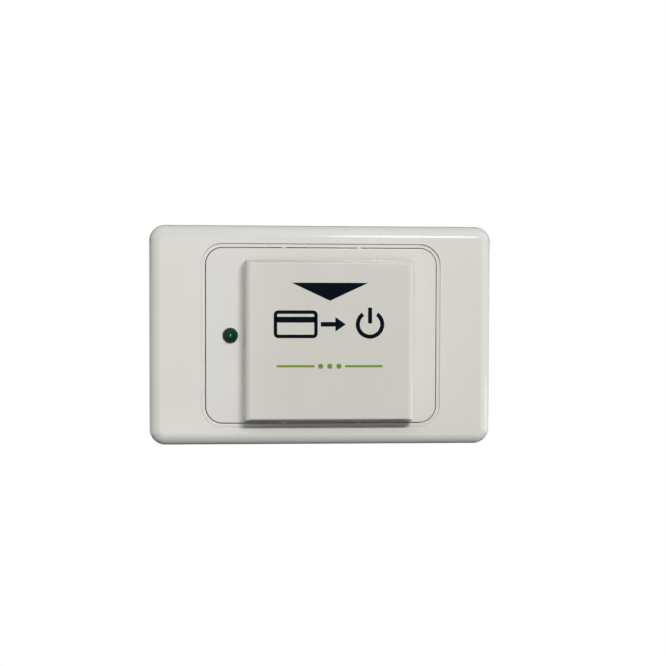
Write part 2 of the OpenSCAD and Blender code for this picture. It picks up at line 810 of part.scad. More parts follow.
module board_screws() {
    color("#b4b7bb") upright() for (s = [-1, 1])
        translate([s * post_x, post_y, board_z])
            pan_screw(screw_r - seat, screw_l, board_head_r, board_head_t);
}

module relay_base() {
    color("#1d1f22") upright() translate([relay_x, relay_y, board_z + relay_base_t / 2])
        cube([relay_w, relay_h, relay_base_t], center = true);
}

module relay_cover() {
    inset = 0.4;
    color("#2a4f8f") upright() translate([relay_x, relay_y, 0])
        pillow(relay_w - inset, relay_h - inset, 1.2, 0.8, board_z + relay_base_t, board_z + relay_tall);
}

module film_capacitor() {
    color("#c9a227") upright() translate([film_x, film_y, 0])
        pillow(film_w, film_t, 0.8, 0.6, board_z, board_z + film_tall);
}

module smoothing_capacitor() {
    color("#2b2d33") upright() translate([can_x, can_y, board_z]) rotate_extrude() difference() {
        square([can_r, can_tall]);
        translate([can_r - can_groove, can_tall - can_r / 2]) square([can_r, 2 * can_groove]);
    }
}

module varistor() {
    middle = board_z + varistor_r + 2 * lead_r;
    color("#2f62a8") upright() {
        rod_y(varistor_r, varistor_y - varistor_t / 2, varistor_y + varistor_t / 2, film_x, middle);
        for (s = [-1, 1]) rod_z(lead_r, board_z, middle, film_x + s * varistor_pitch / 2, varistor_y);
    }
}

module fusible_resistor() {
    color("#6f8f6a") upright() axial_part(fuse_r, fuse_l, film_x, fuse_y);
}

module bridge_rectifier() {
    color("#202225") upright() translate([rectifier_x, rectifier_y, board_z + rectifier_t / 2])
        cube([rectifier_w, rectifier_h, rectifier_t], center = true);
}

module timer_chip() {
    leg_h = chip_leg + chip_t / 2;
    color("#1b1d20") upright() translate([chip_x, chip_y, board_z]) {
        box([-chip_l / 2, -chip_w / 2, chip_leg], [chip_l / 2, chip_w / 2, chip_leg + chip_t]);
        for (i = [0 : 3]) translate([(i - 1.5) * chip_leg_pitch, 0, leg_h / 2])
            cube([chip_leg, chip_w + 2 * chip_leg, leg_h], center = true);
    }
}

module resistors() {
    color("#b88d5a") upright() for (i = [0 : resistor_count - 1])
        axial_part(resistor_r, resistor_l, resistor_x, resistor_y + i * resistor_pitch);
}

// Rear case

module case_outline(shrink, z_deep, z_shallow) {
    w = case_w - 2 * shrink;
    intersection() {
        slab(w, case_h - 2 * shrink, 3 - shrink, z_deep, 0);
        union() {
            box([-w, step_y + shrink, z_deep - skin], [w, case_h, skin]);
            box([-w, -case_h, z_shallow], [w, step_y + shrink + skin, skin]);
        }
    }
}

module rear_case() {
    color("#c9c8c2") upright() {
        difference() {
            union() {
                case_outline(0, -case_d, ledge_z);
                slab(lid_w, lid_h, well_r - ease, 0, lid_t);
            }
            case_outline(case_wall, -case_d + case_wall, ledge_z + case_wall);
            slab(case_w - 2 * case_wall, case_h - 2 * case_wall, 3 - case_wall, -skin, lid_t + skin);
            for (sx = [-1, 1], sy = [-1, 1])
                rod_z(screw_hole_r, -skin, lid_t + skin, sx * boss_x, sy * boss_y);
            for (x = terminal_x)
                rod_z(clamp_pin_r + ease, ledge_z - skin, ledge_z + case_wall + skin, x, clamp_pin_y);
        }
        for (s = [-1, 1]) {
            difference() {
                rod_z(post_r, -case_d + case_wall - lap, board_back, s * post_x, post_y);
                rod_z(tapped_r, board_back - screw_l, board_back + skin, s * post_x, post_y);
            }
            rod_z(post_r, ledge_z + case_wall - lap, board_back, s * post_x, -post_y);
            rod_z(peg_r, board_back - lap, board_z + 0.8, s * post_x, -post_y);
        }
    }
}

module case_screws() {
    color("#b4b7bb") upright() for (sx = [-1, 1], sy = [-1, 1])
        translate([sx * boss_x, sy * boss_y, 0]) mirror([0, 0, 1])
            pan_screw(screw_r - 2 * seat, screw_l, case_head_r, case_head_t);
}

// Wire terminals on the case's rear ledge: wires enter from below, screws face the rear

module terminal_block() {
    room = clamp_w / 2 + clamp_play;
    color("#2b2d30") upright() difference() {
        box([-block_w / 2, block_bottom, block_back], [block_w / 2, block_top, ledge_z]);
        for (x = terminal_x) {
            box([x - room, block_bottom - skin, clamp_back - clamp_play],
                [x + room, clamp_top + clamp_play, clamp_front + clamp_play]);
            rod_z(clamp_head_r + ease, block_back - skin, clamp_back, x, clamp_screw_y);
            rod_z(clamp_pin_r + ease, clamp_front, ledge_z + skin, x, clamp_pin_y);
        }
    }
}

module terminal_clamps() {
    color("#b8923f") upright() for (x = terminal_x) {
        difference() {
            box([x - clamp_w / 2, clamp_top - clamp_l, clamp_back],
                [x + clamp_w / 2, clamp_top, clamp_front]);
            rod_y(wire_d / 2, clamp_top - clamp_l - skin, clamp_top + skin, x, bore_z);
            rod_z(thread_r + seat, clamp_back - skin, bore_z, x, clamp_screw_y);
        }
        rod_z(clamp_pin_r, clamp_front - lap, board_z + 0.6, x, clamp_pin_y);
    }
}

module terminal_screws() {
    color("#c3c5c8") upright() for (x = terminal_x) translate([x, clamp_screw_y, clamp_back - lap])
        mirror([0, 0, 1]) pan_screw(thread_r, clamp_screw_l, clamp_head_r, clamp_head_t);
}

surround();
grid_plate();
card_holder();
card_lever();
lever_pin();
pin_clip();
lever_spring();
switch_base();
switch_cover();
switch_plunger();
switch_terminals();
indicator_led();
led_leads();
led_spacer();
circuit_board();
board_screws();
relay_base();
relay_cover();
film_capacitor();
smoothing_capacitor();
varistor();
fusible_resistor();
bridge_rectifier();
timer_chip();
resistors();
rear_case();
case_screws();
terminal_block();
terminal_clamps();
terminal_screws();
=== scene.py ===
# %% [markdown]
# # A hotel key card switch
# Beside the door of a hotel room sits a wide white plate with a pocket on it. A guest pushes a room
# card into the pocket, a lever behind the panel gives way, and the power comes on.
# The CAD model already holds all the pieces at their real size and place. This lesson gives them
# their looks: a camera where the photographer stood, soft light, a finish for every piece, and the
# print and the fine details that are too thin for CAD.

# %% Load the CAD model
import math

import bmesh
import bpy
from mathutils import Matrix, Vector


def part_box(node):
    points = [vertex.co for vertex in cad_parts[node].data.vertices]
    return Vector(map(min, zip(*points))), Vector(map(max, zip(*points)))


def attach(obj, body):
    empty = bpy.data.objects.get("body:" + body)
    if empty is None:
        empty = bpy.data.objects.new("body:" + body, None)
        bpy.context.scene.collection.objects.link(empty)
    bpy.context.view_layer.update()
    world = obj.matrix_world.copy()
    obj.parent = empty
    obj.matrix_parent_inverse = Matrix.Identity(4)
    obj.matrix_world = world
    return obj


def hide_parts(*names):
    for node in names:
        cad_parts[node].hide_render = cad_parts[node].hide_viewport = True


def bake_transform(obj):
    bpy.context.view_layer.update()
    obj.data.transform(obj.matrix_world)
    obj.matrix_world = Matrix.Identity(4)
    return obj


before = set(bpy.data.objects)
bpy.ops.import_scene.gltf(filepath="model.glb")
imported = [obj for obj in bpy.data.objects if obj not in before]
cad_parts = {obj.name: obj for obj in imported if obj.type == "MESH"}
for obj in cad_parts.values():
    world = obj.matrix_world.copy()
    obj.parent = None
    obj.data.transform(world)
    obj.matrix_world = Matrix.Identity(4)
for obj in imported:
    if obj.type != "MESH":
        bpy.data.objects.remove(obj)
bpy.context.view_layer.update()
MM = 0.001

# %% [markdown]
# ## The camera
# The photograph was taken from nearly straight ahead, a little to the left and a little above. The
# plate's left edge is slightly taller in the picture than its right edge, and the pocket, which stands
# closer, looks a touch larger. Both fit a camera about 400 mm away. Its focal length is written in
# pixels of the picture, because that is how it was worked out, and turned into a lens for Blender.

# %% Place the camera
PICTURE_PX = 666
FOCAL_PX = 1184.2
SENSOR_MM = 36
VIEW_DISTANCE = 400 * MM
VIEW_TARGET = Vector((3.90, -10, 0.89)) * MM
VIEW_AZIMUTH = math.radians(-3.94)
VIEW_ELEVATION = math.radians(1.98)
VIEW_ROLL = math.radians(0.18)
NEAREST_SEEN = 10 * MM

scene = bpy.context.scene
towards_camera = Vector((
    math.sin(VIEW_AZIMUTH) * math.cos(VIEW_ELEVATION),
    -math.cos(VIEW_AZIMUTH) * math.cos(VIEW_ELEVATION),
    math.sin(VIEW_ELEVATION),
))
camera = bpy.data.objects.new("camera", bpy.data.cameras.new("camera"))
scene.collection.objects.link(camera)
camera.data.sensor_width = SENSOR_MM
camera.data.lens = FOCAL_PX / PICTURE_PX * SENSOR_MM
camera.data.clip_start = NEAREST_SEEN
camera.location = VIEW_TARGET + towards_camera * VIEW_DISTANCE
turn = (-towards_camera).to_track_quat("-Z", "Y").to_matrix() @ Matrix.Rotation(VIEW_ROLL, 3, "Z")
camera.rotation_euler = turn.to_euler()
scene.camera = camera
scene.view_settings.view_transform = "Standard"
print("Lens:", round(camera.data.lens, 1), "mm")

# %% [markdown]
# ## Small tools
# Paint shops and photo editors name colours in sRGB, but a shader works with linear light, so one
# function turns a hex colour into the four numbers that a socket takes. A second adds a shader node,
# fills its sockets and links it, so that a material reads as a list of what it is made of. Two more
# start a material with an empty node tree, and make an object of a finished bmesh.

# %% Colours and shader nodes
PLATE_WHITE = "#dedcd6"


def linear(colour):
    """Turn an sRGB hex colour into linear red, green, blue and alpha."""
    parts = [int(colour[i:i + 2], 16) / 255 for i in (1, 3, 5)]
    return tuple(p / 12.92 if p <= 0.04045 else ((p + 0.055) / 1.055) ** 2.4 for p in parts) + (1.0,)


def add(tree, kind, values=None, links=None, **settings):
    """Add a shader node with its settings, its socket values and the outputs that feed it."""
    node = tree.nodes.new("ShaderNode" + kind)
    for name, setting in settings.items():
        setattr(node, name, setting)
    for socket, value in (values or {}).items():
        node.inputs[socket].default_value = value
    for socket, source in (links or {}).items():
        tree.links.new(source, node.inputs[socket])
    return node


print("Plate white in linear light:", [round(part, 3) for part in linear(PLATE_WHITE)])


# %% New materials and objects
def new_material(name):
    """A material with an empty node tree, and the tree to fill."""
    material = bpy.data.materials.new(name)
    material.use_nodes = True
    material.node_tree.nodes.clear()
    return material, material.node_tree


def new_object(name, shape, material):
    """An object in the scene, made of a finished bmesh and one material."""
    data = bpy.data.meshes.new(name)
    shape.to_mesh(data)
    shape.free()
    data.materials.append(material)
    piece = bpy.data.objects.new(name, data)
    scene.collection.objects.link(piece)
    return piece


print("The CAD model brings", len(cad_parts), "pieces to dress")

# %% [markdown]
# ## Light
# The pocket's shadow tells where the light stood. It falls a few millimetres down and to the left,
# its lower end is crisp and its left end is soft, so the lamp was a long, low window, above the camera
# and mostly to its right. Daylight from the front and above fills the rest, and the lower edges stay
# dark. The world takes its strength from the direction a ray comes from. Only what the camera, a gloss
# or a clear piece looks at is plain white.


# %% What the camera and the gloss look at
def looked_at(tree):
    """One for what the camera, a gloss or a clear piece looks at, and zero for light that only fills."""
    rays = add(tree, "LightPath").outputs
    seen = rays["Is Camera Ray"]
    for other in ("Is Glossy Ray", "Is Transmission Ray"):
        seen = add(tree, "Math", links={0: seen, 1: rays[other]}, operation="MAXIMUM").outputs[0]
    print("Looks and fill are told apart in", tree.name)
    return seen


# %% The world
DAYLIGHT = Vector((-0.03, -0.29, 0.31))
LEAST_LIGHT = 0.035
WHITE = (1, 1, 1, 1)

world = bpy.data.worlds.new("studio")
scene.world = world
world.use_nodes = True
sky = world.node_tree
sky.nodes.clear()
heading = add(sky, "TexCoord").outputs["Generated"]
facing = add(sky, "VectorMath", {1: DAYLIGHT}, {0: heading}, operation="DOT_PRODUCT")
level = add(sky, "Math", {1: LEAST_LIGHT}, {0: facing.outputs["Value"]}, operation="MAXIMUM")
fill = add(sky, "Background", {"Color": WHITE}, {"Strength": level.outputs[0]})
plain = add(sky, "Background", {"Color": WHITE, "Strength": 1})
either = add(sky, "MixShader", links={0: looked_at(sky), 1: fill.outputs[0], 2: plain.outputs[0]})
add(sky, "OutputWorld", links={"Surface": either.outputs[0]})
print("Daylight comes from", [round(part, 2) for part in DAYLIGHT])


# %% The lamps
def softbox(name, place, width, height, watts):
    """A rectangular lamp at a place in mm, turned towards the plate and hidden from the camera."""
    lamp = bpy.data.objects.new(name, bpy.data.lights.new(name, "AREA"))
    lamp.data.shape = "RECTANGLE"
    lamp.data.size = width * MM
    lamp.data.size_y = height * MM
    lamp.data.energy = watts
    lamp.location = Vector(place) * MM
    lamp.rotation_euler = (-lamp.location).to_track_quat("-Z", "Y").to_euler()
    lamp.visible_camera = False
    scene.collection.objects.link(lamp)
    print(name, "gives", watts, "W")
    return lamp


# The window gives the light. What gleams in the gloss is a taller, dimmer picture of it.
WINDOW_PLACE = (103, -1000, 320)
softbox("window", WINDOW_PLACE, 250, 40, 7.05).visible_glossy = False
softbox("gleam", (181, -1000, 320), 204, 200, 0.95).visible_diffuse = False
# A pale wall on the left makes that side of the gloss a little brighter. A doorway on the right lights
# the right edges, and a low part of it gleams in their lower ends.
softbox("wall", (-240, -1500, -50), 440, 500, 1.0)
softbox("doorway", (680, -70, -100), 400, 300, 1.8).visible_glossy = False
softbox("door_gleam", (700, 0, -130), 240, 130, 0.3).visible_diffuse = False
# The lamp behind is only for views of the back.
softbox("behind", (-300, 900, 60), 500, 500, 8.5).visible_glossy = False

# %% [markdown]
# A pale floor lies well below the plate, out of the picture, and shows in higher views. It is pale only
# to what looks at it: the light it gives back is that of a dark floor, which keeps the lower edges dark.
# A photographer also hangs a dark cloth beside the camera and lays one under the object, so that ink and
# gloss keep their depth, and puts a grey card above and behind it, so that the upper edge stands out
# from the white. Only reflections see the cloths and the card here.

# %% A sheet of felt
# Felt is dull, and its short nap breaks up what light it gives back.
FELT_THREAD = 2 * MM
FELT_NAP = 0.2 * MM
FELT_ROUGH = 0.9


def staged(name, width, height, place, turn_deg, colour, seen, glow):
    """A flat felt sheet in mm. Fill light gets colour back from it, and what looks gets seen with a glow."""
    sheet = bmesh.new()
    bmesh.ops.create_grid(sheet, x_segments=4, y_segments=4, size=0.5)
    shape = Matrix.Translation(Vector(place) * MM) @ Matrix.Rotation(math.radians(turn_deg), 4, "X")
    shape = shape @ Matrix.Diagonal((width * MM, height * MM, 1, 1))
    bmesh.ops.transform(sheet, matrix=shape, verts=sheet.verts)
    felt, tree = new_material(name + "_felt")
    on_sheet = add(tree, "TexCoord").outputs["Object"]
    thread = add(tree, "TexNoise", {"Scale": 1 / FELT_THREAD}, {"Vector": on_sheet})
    nap = add(tree, "Bump", {"Distance": FELT_NAP}, {"Height": thread.outputs[0]})
    looks = looked_at(tree)
    tone = add(tree, "Mix", {6: linear(colour), 7: linear(seen)}, {0: looks}, data_type="RGBA")
    lift = add(tree, "Math", {1: glow}, {0: looks}, operation="MULTIPLY")
    shader = add(tree, "BsdfPrincipled", {"Roughness": FELT_ROUGH, "Emission Color": linear(seen)},
                 {"Base Color": tone.outputs[2], "Normal": nap.outputs[0],
                  "Emission Strength": lift.outputs[0]})
    add(tree, "OutputMaterial", links={"Surface": shader.outputs[0]})
    piece = new_object(name, sheet, felt)
    print(name, "measures", width, "by", height, "mm")
    return piece


# %% Floor, cloths and card
FLOOR_DARK, FLOOR_PALE, FLOOR_GLOW = "#282828", "#fbfbf9", 0.7
CLOTH_BLACK = "#1c1c1c"
CARD_GREY = "#9a9a9a"

staged("floor", 4000, 1780, (0, -10, -400), 0, FLOOR_DARK, FLOOR_PALE, FLOOR_GLOW)
reflected = [
    staged("cloth", 900, 520, (420, -1500, -180), 90, CLOTH_BLACK, CLOTH_BLACK, 0),
    staged("under_cloth", 1000, 900, (0, 0, -250), 0, CLOTH_BLACK, CLOTH_BLACK, 0),
    staged("card", 6000, 500, (0, 500, 310), 90, CARD_GREY, CARD_GREY, 0),
]
for sheet in reflected:
    sheet.visible_camera = False
    sheet.visible_diffuse = False
    sheet.visible_transmission = False
    sheet.visible_shadow = False

# %% [markdown]
# ## Moulded plastic
# Nearly everything on this switch is injection moulded. A moulded face is never one flat colour: the
# pigment flows in faint clouds, the gloss wanders where the mould was polished by hand, and the steel
# leaves a fine skin of ripples. Three noise patterns on the piece's own coordinates give that, each
# with a size in millimetres. The same function serves all plastics, with other colours and sizes.

# %% A function for moulded plastics
# The polish changes over a shorter way than the pigment does, and most of a noise lies in this span.
POLISH_FINER = 2.5
NOISE_SPAN = {"From Min": 0.3, "From Max": 0.7}


def moulded(name, light, dark, gloss, cloud_mm=16, ripple_mm=1.6, ripple_high_mm=0.002, ior=1.5):
    """A moulded plastic between two close colours, with gloss as the least and most roughness."""
    material, tree = new_material(name)
    place = add(tree, "TexCoord").outputs["Object"]
    clouds = add(tree, "TexNoise", {"Scale": 1 / (cloud_mm * MM), "Detail": 3}, {"Vector": place})
    polish = add(tree, "TexNoise", {"Scale": POLISH_FINER / (cloud_mm * MM), "Detail": 2}, {"Vector": place})
    ripple = add(tree, "TexNoise", {"Scale": 1 / (ripple_mm * MM), "Detail": 2}, {"Vector": place})
    pigment = add(tree, "Mix", {6: linear(dark), 7: linear(light)}, {0: clouds.outputs[0]}, data_type="RGBA")
    rough = add(tree, "MapRange", {**NOISE_SPAN, "To Min": gloss[0], "To Max": gloss[1]},
                {"Value": polish.outputs[0]})
    skin = add(tree, "Bump", {"Distance": ripple_high_mm * MM}, {"Height": ripple.outputs[0]})
    shader = add(tree, "BsdfPrincipled", {"IOR": ior},
                 {"Base Color": pigment.outputs[2], "Roughness": rough.outputs[0], "Normal": skin.outputs[0]})
    add(tree, "OutputMaterial", links={"Surface": shader.outputs[0]})
    return material


def dress(material, *names):
    """Give CAD nodes a finish in place of their plain colour."""
    for name in names:
        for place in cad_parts[name].material_slots:
            place.material = material
    print(material.name, "on", ", ".join(names))


# %% White plastics
POLISHED_RIPPLE = 0.0006
POLISHED, SOFT_POLISHED = (0.10, 0.14), (0.11, 0.15)

# Polished polycarbonate: a clean white with a tight gloss, a shade darker on the panel than on the plate.
dress(moulded("polycarbonate_plate", PLATE_WHITE, "#dad8d2", POLISHED, ripple_high_mm=POLISHED_RIPPLE),
      "surround")
dress(moulded("polycarbonate_panel", "#dddbd6", "#d9d7d2", POLISHED, ripple_high_mm=POLISHED_RIPPLE),
      "grid_plate")
# ABS takes a creamier white than polycarbonate, and its skin is a little softer. The rear case, which
# nobody sees, comes out of a rough mould and is matt.
dress(moulded("abs_card_holder", "#d8d6ce", "#d4d2c9", SOFT_POLISHED, ripple_high_mm=POLISHED_RIPPLE),
      "card_holder")
dress(moulded("abs_rear_case", "#cfcec8", "#c7c6bf", (0.42, 0.55), ripple_mm=0.5, ripple_high_mm=0.006),
      "rear_case")
# Acetal and nylon slide well. They are milky and half matt.
dress(moulded("acetal_lever", "#e6e3d9", "#dfdccf", (0.35, 0.45)), "card_lever")
dress(moulded("nylon_spacer", "#e9e6da", "#dfdbcc", (0.4, 0.5)), "led_spacer")

# %% Dark and coloured plastics
# Glass-filled polyester in the switch, the relay and the film capacitor: dense black or bright, with a
# satin skin.
dress(moulded("polyester_black", "#2a2c30", "#202226", (0.38, 0.5), ripple_mm=0.4),
      "switch_base", "relay_base")
dress(moulded("polyester_black_cover", "#33363b", "#282a2f", (0.34, 0.46), ripple_mm=0.4), "switch_cover")
dress(moulded("polyester_red_plunger", "#c9452f", "#b53a28", (0.3, 0.4), cloud_mm=3), "switch_plunger")
dress(moulded("polyester_blue_relay", "#2d5596", "#264a86", (0.22, 0.3), cloud_mm=8), "relay_cover")
dress(moulded("polyester_yellow_box", "#d0a72c", "#bf9723", (0.35, 0.45), cloud_mm=6), "film_capacitor")
# Polyamide in the terminal block is tough, dark and a little coarser.
dress(moulded("polyamide_terminal_block", "#2f3134", "#25272a", (0.42, 0.55),
              ripple_mm=0.5, ripple_high_mm=0.005), "terminal_block")
# Epoxy moulding compound on chips is nearly black and finely pitted.
dress(moulded("epoxy_chip_compound", "#232528", "#1a1c1f", (0.55, 0.7), ripple_mm=0.25, ripple_high_mm=0.006),
      "bridge_rectifier", "timer_chip")
# A dipped lacquer runs smooth and pools slightly, so its ripples are wide. A cement coat is dull and rough.
dress(moulded("dipped_blue_lacquer", "#2f63ab", "#27538f", (0.18, 0.3), cloud_mm=4, ripple_high_mm=0.02),
      "varistor")
dress(moulded("green_cement_coat", "#74946e", "#64825f", (0.6, 0.75), cloud_mm=3,
              ripple_mm=0.4, ripple_high_mm=0.02), "fusible_resistor")

# %% [markdown]
# ## Metal
# Metal pieces show how they were worked: wire is drawn, so its marks run along it, a pin is ground
# round, and a clamp is milled. A noise that is stretched along one axis makes such marks. The metal's
# own colour goes into the base colour, and the marks change its roughness and bend its reflections.

# %% A function for worked metals
STAIN_MM = 2.5


def worked_metal(name, light, dark, gloss, stretch, mark_mm=0.12, mark_deep_mm=0.003):
    """A metal with tool marks. stretch says how much longer the marks are along X, Y and Z."""
    material, tree = new_material(name)
    place = add(tree, "TexCoord").outputs["Object"]
    drawn = add(tree, "Mapping", {"Scale": [1 / part for part in stretch]}, {"Vector": place})
    marks = add(tree, "TexNoise", {"Scale": 1 / (mark_mm * MM), "Detail": 3}, {"Vector": drawn.outputs[0]})
    stain = add(tree, "TexNoise", {"Scale": 1 / (STAIN_MM * MM), "Detail": 4}, {"Vector": place})
    tint = add(tree, "Mix", {6: linear(dark), 7: linear(light)}, {0: stain.outputs[0]}, data_type="RGBA")
    rough = add(tree, "MapRange", {**NOISE_SPAN, "To Min": gloss[0], "To Max": gloss[1]},
                {"Value": marks.outputs[0]})
    skin = add(tree, "Bump", {"Distance": mark_deep_mm * MM}, {"Height": marks.outputs[0]})
    shader = add(tree, "BsdfPrincipled", {"Metallic": 1},
                 {"Base Color": tint.outputs[2], "Roughness": rough.outputs[0], "Normal": skin.outputs[0]})
    add(tree, "OutputMaterial", links={"Surface": shader.outputs[0]})
    return material


# %% Steel and brass
# Ground steel is grey and even, a blued clip is darker, and spring wire has fine marks from the die.
dress(worked_metal("ground_steel", "#c4c6c8", "#a9abae", (0.22, 0.34), (1, 6, 6)), "lever_pin")
dress(worked_metal("blued_steel_clip", "#7d8288", "#666b72", (0.3, 0.42), (1, 3, 3)), "pin_clip")
spring_wire = worked_metal("drawn_spring_wire", "#a9abae", "#8b8e92", (0.26, 0.38), (1, 5, 5), mark_mm=0.08)
dress(spring_wire, "lever_spring")
# Zinc plating is pale and faintly blue, with soft patches.
dress(worked_metal("zinc_plated_steel", "#cfd3d6", "#b4b9bf", (0.24, 0.4), (3, 1, 1), mark_mm=0.3),
      "board_screws", "case_screws", "terminal_screws")
# Tinned brass is silvery and soft in its reflections; bare brass in the clamps shows its milling.
dress(worked_metal("tinned_brass", "#d3d3cf", "#b9b8b0", (0.3, 0.45), (1, 4, 4)),
      "switch_terminals", "led_leads")
dress(worked_metal("milled_brass", "#d2ab5c", "#b98f45", (0.22, 0.36), (8, 1, 1), mark_deep_mm=0.006),
      "terminal_clamps")

# %% [markdown]
# ## The lever's spring
# A torsion spring sits on the lever's pin. Its upper leg rests on the panel and its lower leg lifts the
# lever, so the coil winds up when a card pushes the lever down. The CAD model draws the wire with six
# sides. Here a round section is spun about the pin with a small step along it, which makes a helix, and
# both legs are drawn out straight.

# %% The wire's round end
WIRE_R = 0.225 * MM
WIRE_SIDES = 12

low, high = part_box("lever_spring")
free_x, fixed_x = low.x + WIRE_R, high.x - WIRE_R
pin_z = (low.z + high.z) / 2
coil_r = (high.z - low.z) / 2 - WIRE_R
spring = bmesh.new()
section = bmesh.ops.create_circle(spring, segments=WIRE_SIDES, radius=WIRE_R)["verts"]
leg_end = Matrix.Translation((free_x, low.y, pin_z - coil_r)) @ Matrix.Rotation(math.radians(90), 4, "X")
bmesh.ops.transform(spring, matrix=leg_end, verts=section)
print("The coil's wire runs", round(coil_r / MM, 2), "mm from the pin's middle")


# %% Draw the legs and spin the coil
def draw_out(edges, length):
    """Draw a ring of edges out along Y and return the new ring."""
    drawn = bmesh.ops.extrude_edge_only(spring, edges=edges)["geom"]
    moved = [part for part in drawn if isinstance(part, bmesh.types.BMVert)]
    bmesh.ops.translate(spring, verts=moved, vec=(0, length, 0))
    return [part for part in drawn if isinstance(part, bmesh.types.BMEdge) and len(part.link_faces) == 1]


SPRING_TURNS = 3.5
STEPS_A_TURN = 24
steps = int(SPRING_TURNS * STEPS_A_TURN)
ring = draw_out(spring.edges[:], -low.y)
wound = bmesh.ops.spin(spring, geom=ring, cent=(0, 0, pin_z), axis=(1, 0, 0), angle=SPRING_TURNS * math.tau,
                       steps=steps, dvec=((fixed_x - free_x) / steps, 0, 0))
draw_out([part for part in wound["geom_last"] if isinstance(part, bmesh.types.BMEdge)], low.y)
bmesh.ops.holes_fill(spring, edges=spring.edges[:])
bmesh.ops.recalc_face_normals(spring, faces=spring.faces[:])
for face in spring.faces:
    face.smooth = len(face.verts) == 4
print("Spring of", SPRING_TURNS, "turns with", len(spring.faces), "faces")

# %% Put the spring in its place
spring_piece = new_object("wound_spring", spring, spring_wire)
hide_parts("lever_spring")
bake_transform(spring_piece)
print("The coil is", round((fixed_x - free_x) / MM, 2), "mm long")

# %% [markdown]
# ## The lamp, the board and the banded parts
# The indicator is a clear epoxy body dyed dark green, so it takes light in and gives little back.
# The board is glass cloth under a green lacquer. Islands of copper foil lie below the lacquer, cut off by
# straight and slanting lines, so they are the cells of a Voronoi pattern with a square distance.
# The small can wears a dark sleeve with a pale stripe, and each resistor carries colour bands.

# %% Clear epoxy for the indicator lamp
DYE_SWIRL = 2 * MM
DOME_WAVE = 0.002 * MM

epoxy, epoxy_tree = new_material("green_dyed_epoxy")
epoxy_place = add(epoxy_tree, "TexCoord").outputs["Object"]
swirl = add(epoxy_tree, "TexNoise", {"Scale": 1 / DYE_SWIRL, "Detail": 2}, {"Vector": epoxy_place})
dye = add(epoxy_tree, "Mix", {6: linear("#1b4a3a"), 7: linear("#1f5241")}, {0: swirl.outputs[0]},
          data_type="RGBA")
wave = add(epoxy_tree, "Bump", {"Distance": DOME_WAVE}, {"Height": swirl.outputs[0]})
# Epoxy bends light more than this, but the real dome mirrors little of the room.
clear = add(epoxy_tree, "BsdfPrincipled", {"Roughness": 0.12, "IOR": 1.17, "Transmission Weight": 0.45},
            {"Base Color": dye.outputs[2], "Normal": wave.outputs[0]})
add(epoxy_tree, "OutputMaterial", links={"Surface": clear.outputs[0]})
dress(epoxy, "indicator_led")

# %% The window's glint in the dome
# The whole window shines in this small smooth dome, and in nothing else.
dome = bpy.data.collections.new("dome")
dome.objects.link(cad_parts["indicator_led"])
glint = softbox("glint", WINDOW_PLACE, 500, 200, 34)
glint.visible_diffuse = False
glint.light_linking.receiver_collection = dome

# %% Lacquered board
COPPER_ISLAND = 6 * MM
COPPER_FOIL = 0.035 * MM
BARE_SHARE = 0.45

board, board_tree = new_material("fr4_green_lacquer")
board_place = add(board_tree, "TexCoord").outputs["Object"]
# The copper lies in the board's plane, which is XZ here, so the pattern is turned to lie there.
flat = add(board_tree, "Mapping", {"Rotation": (math.radians(90), 0, 0)}, {"Vector": board_place})
islands = add(board_tree, "TexVoronoi", {"Scale": 1 / COPPER_ISLAND}, {"Vector": flat.outputs[0]},
              voronoi_dimensions="2D", feature="F1", distance="CHEBYCHEV")
chance = add(board_tree, "SeparateColor", links={0: islands.outputs["Color"]})
copper = add(board_tree, "Math", {1: BARE_SHARE}, {0: chance.outputs[0]}, operation="GREATER_THAN")
tint = add(board_tree, "Mix", {6: linear("#275333"), 7: linear("#2f623b")}, {0: copper.outputs[0]},
           data_type="RGBA")
raised = add(board_tree, "Bump", {"Distance": COPPER_FOIL}, {"Height": copper.outputs[0]})
lacquer = add(board_tree, "BsdfPrincipled", {"Roughness": 0.3, "IOR": 1.5},
              {"Base Color": tint.outputs[2], "Normal": raised.outputs[0]})
add(board_tree, "OutputMaterial", links={"Surface": lacquer.outputs[0]})
dress(board, "circuit_board")

# %% A function for banded coats
# Shrunk sleeves and sprayed lacquer shine unevenly, by this much roughness either way.
SHINE_SPREAD = 0.08


def banded(name, along, start, length, stops, rough):
    """A coat whose colour changes at each stop, a share of the length from the start along one axis."""
    material, tree = new_material(name)
    place = add(tree, "TexCoord").outputs["Object"]
    axes = add(tree, "SeparateXYZ", links={0: place})
    share = add(tree, "MapRange", {"From Min": start, "From Max": start + length},
                {"Value": axes.outputs[along]})
    bands = add(tree, "ValToRGB", links={0: share.outputs[0]})
    bands.color_ramp.interpolation = "CONSTANT"
    # A new ramp already has its first two stops.
    for number, (at, colour) in enumerate(stops):
        stop = bands.color_ramp.elements[number] if number < 2 else bands.color_ramp.elements.new(at)
        stop.position = at
        stop.color = linear(colour)
    shine = add(tree, "TexNoise", {"Scale": 1 / MM}, {"Vector": place})
    gloss = add(tree, "MapRange", {"To Min": rough - SHINE_SPREAD, "To Max": rough + SHINE_SPREAD},
                {"Value": shine.outputs[0]})
    shader = add(tree, "BsdfPrincipled", {"IOR": 1.5},
                 {"Base Color": bands.outputs[0], "Roughness": gloss.outputs[0]})
    add(tree, "OutputMaterial", links={"Surface": shader.outputs[0]})
    return material


